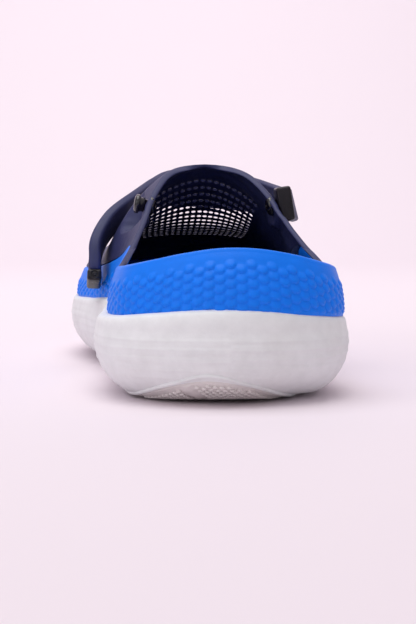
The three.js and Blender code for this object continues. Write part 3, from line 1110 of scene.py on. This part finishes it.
def strap_frame(t):
    last = len(strap_path) - 1
    i = t * last
    low = int(min(max(math.floor(i), 0), last - 1))
    spot = strap_path[low] + (strap_path[low + 1] - strap_path[low]) * (i - low)
    a, b = max(low - 1, 0), min(low + 2, last)
    forward = strap_path[b] - strap_path[a]
    forward /= np.linalg.norm(forward)
    flat = np.array([forward[1], -forward[0], 0])
    flat /= np.linalg.norm(flat)
    lean = float(strap_lean(t))
    out = flat * math.cos(lean) + np.array([0, 0, math.sin(lean)])
    out -= forward * (out @ forward)
    out /= np.linalg.norm(out)
    return spot, forward, out, np.cross(forward, out)


def bar_section(half_w, half_h, corner, steps=5):
    loop = []
    for quarter in range(4):
        cx = (half_w - corner) * (1 if quarter in (0, 3) else -1)
        cy = (half_h - corner) * (1 if quarter in (0, 1) else -1)
        for k in range(steps):
            a = math.pi / 2 * (quarter + k / (steps - 1))
            loop.append((cx + corner * math.cos(a), cy + corner * math.sin(a)))
    return loop


def strap_ring(t, shrink):
    spot, forward, out, wide = strap_frame(t)
    half_w = float(strap_width(t)) / 2 - shrink
    half_h = float(strap_thick(t)) / 2 - shrink * 0.8
    corner = 0.62 * half_h
    return np.array([spot + wide * a + out * b for a, b in bar_section(half_w, half_h, corner)])


ts = np.linspace(CAP_REACH, FOAM_END, 180)
nip = 0.9 / strap_length
strap_rings = [strap_ring(ts[0], 0.9), strap_ring(ts[0] + nip * 0.3, 0.3)]
strap_rings += [strap_ring(t, 0) for t in ts[1:-1]]
strap_rings += [strap_ring(ts[-1] - nip * 0.3, 0.3), strap_ring(ts[-1], 0.9)]
section = len(strap_rings[0])
strap_points = np.vstack(strap_rings)
strap_faces = tube_faces(len(strap_rings), section)
strap_faces.append(tuple(range(section))[::-1])
strap_faces.append(tuple(range(len(strap_points) - section, len(strap_points))))
strap_foam = make("strap_foam", strap_points, strap_faces, navy_foam, "strap",
                  ["strap_band"])

# %% Strap ends


PIN_SIDES = 24


def block(name, place, node, length, pin):
    origin, forward, out, wide = place
    shell = bmesh.new()
    bmesh.ops.create_cube(shell, size=1)
    for vert in shell.verts:
        vert.co = Vector((vert.co.x * CAP_WIDE, vert.co.y * length, vert.co.z * CAP_THICK))
    bmesh.ops.bevel(shell, geom=list(shell.edges), offset=1.3, segments=4, profile=0.55,
                    affect="EDGES")
    top = [f for f in shell.faces if f.normal.z > 0.99 and f.calc_area() > 8]
    bmesh.ops.inset_region(shell, faces=top, thickness=0.5, depth=0)
    bmesh.ops.inset_region(shell, faces=top, thickness=0.3, depth=-0.3)
    verts = [np.array(v.co) for v in shell.verts]
    faces = [tuple(v.index for v in f.verts) for f in shell.faces]
    shell.free()
    points = [origin + wide * v[0] + forward * v[1] + out * v[2] for v in verts]
    if pin:
        facing = wide if wide[1] < 0 else -wide
        end = origin + facing * CAP_WIDE / 2
        for r0, r1, rise in ((1.9, 1.35, 0.35), (0.9, 0.05, 0.55)):
            first = len(points)
            profile = [(r0, -0.3), (r0, rise * 0.7), (r0 - 0.12, rise), (r1, rise),
                       (r1, -0.3)]
            for r, t in profile:
                for k in range(PIN_SIDES):
                    a = 2 * math.pi * k / PIN_SIDES
                    points.append(end + facing * t + forward * (r * math.cos(a))
                                  + out * (r * math.sin(a)))
            faces += tube_faces(len(profile), PIN_SIDES, closed_along=True, first=first)
    return make(name, points, faces, strap_plastic, "strap", [node])


right_origin, right_out, right_forward, _ = side_frame(1)
right_wide = np.cross(right_forward, right_out)
block("strap_end_right", (right_origin, right_forward, right_out, right_wide),
      "strap_cap_right", CAP_LONG, False)
free_spot, free_forward, free_out, free_wide = strap_frame(FREE_END)
tip_spot = free_spot + free_forward * (CAP_LONG - TIP_LONG) / 2
block("strap_end_left", (tip_spot, free_forward, free_out, free_wide), "strap_cap_left",
      TIP_LONG, True)
ring_profile = [(4.15, -2.2), (4.35, -2.4), (4.7, -2.4), (4.9, -2.2), (4.9, 1.0), (4.7, 1.2),
                (4.35, 1.2), (4.15, 1.0)]


RING_SIDES = 48


def snap_ring(name, place, node):
    origin, axis, first, second = place
    angle = 2 * math.pi * np.arange(RING_SIDES) / RING_SIDES
    rings = []
    for r, t in ring_profile:
        rings.append(origin + axis * t + r * (np.cos(angle)[:, None] * first
                                              + np.sin(angle)[:, None] * second))
    faces = tube_faces(len(ring_profile), RING_SIDES, closed_along=True)
    return make(name, np.vstack(rings), faces, black_plastic, "strap", [node])


snap_ring("snap_ring_right", side_frame(1), "socket_ring_right")
snap_ring("snap_ring_left", (free_spot - free_out * 0.45, free_out, free_forward, free_wide),
          "socket_ring_left")

# %% [markdown]
# ## Floor, light and camera
# The clog stands on a pale sweep of paper that curves up behind it. A broad light overhead and
# a weaker one from each side give soft shadows, as in a small product studio.

# %% Floor


# The paper's sizes are in metres.
PAPER_HALF = 9.0
BEND_START = 1.2
BEND_R = 0.9
PAPER_RISE = 2.2


def sweep_paper():
    rows = []
    for k in range(60):
        t = k / 59
        if t < 0.5:
            rows.append((-PAPER_HALF + t * 2 * (PAPER_HALF + BEND_START), 0.0))
        elif t < 0.8:
            a = (t - 0.5) / 0.3 * math.pi / 2
            rows.append((BEND_START + BEND_R * math.sin(a), BEND_R - BEND_R * math.cos(a)))
        else:
            rows.append((BEND_START + BEND_R, BEND_R + (t - 0.8) / 0.2 * PAPER_RISE))
    verts = []
    faces = []
    for y, z in rows:
        verts += [(-PAPER_HALF, y, z), (PAPER_HALF, y, z)]
    for k in range(len(rows) - 1):
        faces.append((2 * k, 2 * k + 1, 2 * k + 3, 2 * k + 2))
    mesh = bpy.data.meshes.new("paper")
    mesh.from_pydata(verts, [], faces)
    mesh.shade_smooth()
    paper = bpy.data.objects.new("paper", mesh)
    bpy.context.scene.collection.objects.link(paper)
    material = bpy.data.materials.new("paper")
    material.use_nodes = True
    nodes = material.node_tree.nodes
    shader = nodes["Principled BSDF"]
    shader.inputs["Specular IOR Level"].default_value = 0.2
    shader.inputs["Roughness"].default_value = 0.75
    grain = nodes.new("ShaderNodeTexNoise")
    grain.inputs["Scale"].default_value = 260
    bump = nodes.new("ShaderNodeBump")
    bump.inputs["Strength"].default_value = 0.1
    bump.inputs["Distance"].default_value = 0.0002
    material.node_tree.links.new(grain.outputs["Fac"], bump.inputs["Height"])
    material.node_tree.links.new(bump.outputs["Normal"], shader.inputs["Normal"])
    shader.inputs["Base Color"].default_value = linear(236, 225, 232)
    mesh.materials.append(material)


sweep_paper()

# %% Lights


def light(name, where, target, size, power, colour=(1, 1, 1)):
    lamp = bpy.data.lights.new(name, "AREA")
    lamp.shape = "RECTANGLE"
    lamp.size, lamp.size_y = size
    lamp.energy = power
    lamp.color = colour
    holder = bpy.data.objects.new(name, lamp)
    holder.location = where
    holder.rotation_euler = (Vector(target) - Vector(where)).to_track_quat("-Z", "Y").to_euler()
    bpy.context.scene.collection.objects.link(holder)


light("overhead", (-0.15, -0.15, 1.2), (0, 0, 0), (1.2, 1.0), 9, (1, 0.995, 1))
light("left", (-1.1, -0.7, 0.6), (0, 0, 0.05), (0.9, 0.9), 3, (1, 0.98, 1))
light("front", (0.1, -1.6, 0.9), (0, 0, 0.05), (1.4, 0.8), 2, (1, 0.98, 0.99))
light("backdrop", (0, 0.6, 1.8), (0, 2.1, 0.9), (2.0, 0.8), 26, (1, 0.98, 1))
world_light = bpy.data.worlds.new("studio")
world_light.use_nodes = True
world_light.node_tree.nodes["Background"].inputs["Color"].default_value = (1, 0.97, 0.99, 1)
world_light.node_tree.nodes["Background"].inputs["Strength"].default_value = 0.42
bpy.context.scene.world = world_light
bpy.context.scene.view_settings.view_transform = "Standard"

# %% Camera

camera_data = bpy.data.cameras.new("camera")
camera_data.lens = 76
camera_data.sensor_width = 36
camera_data.clip_start = 0.01
camera = bpy.data.objects.new("camera", camera_data)
camera.location = (-0.0298, -0.5705, 0.062)
camera.rotation_euler = (math.radians(86.05), 0, math.radians(-3.5))
bpy.context.scene.collection.objects.link(camera)
bpy.context.scene.camera = camera
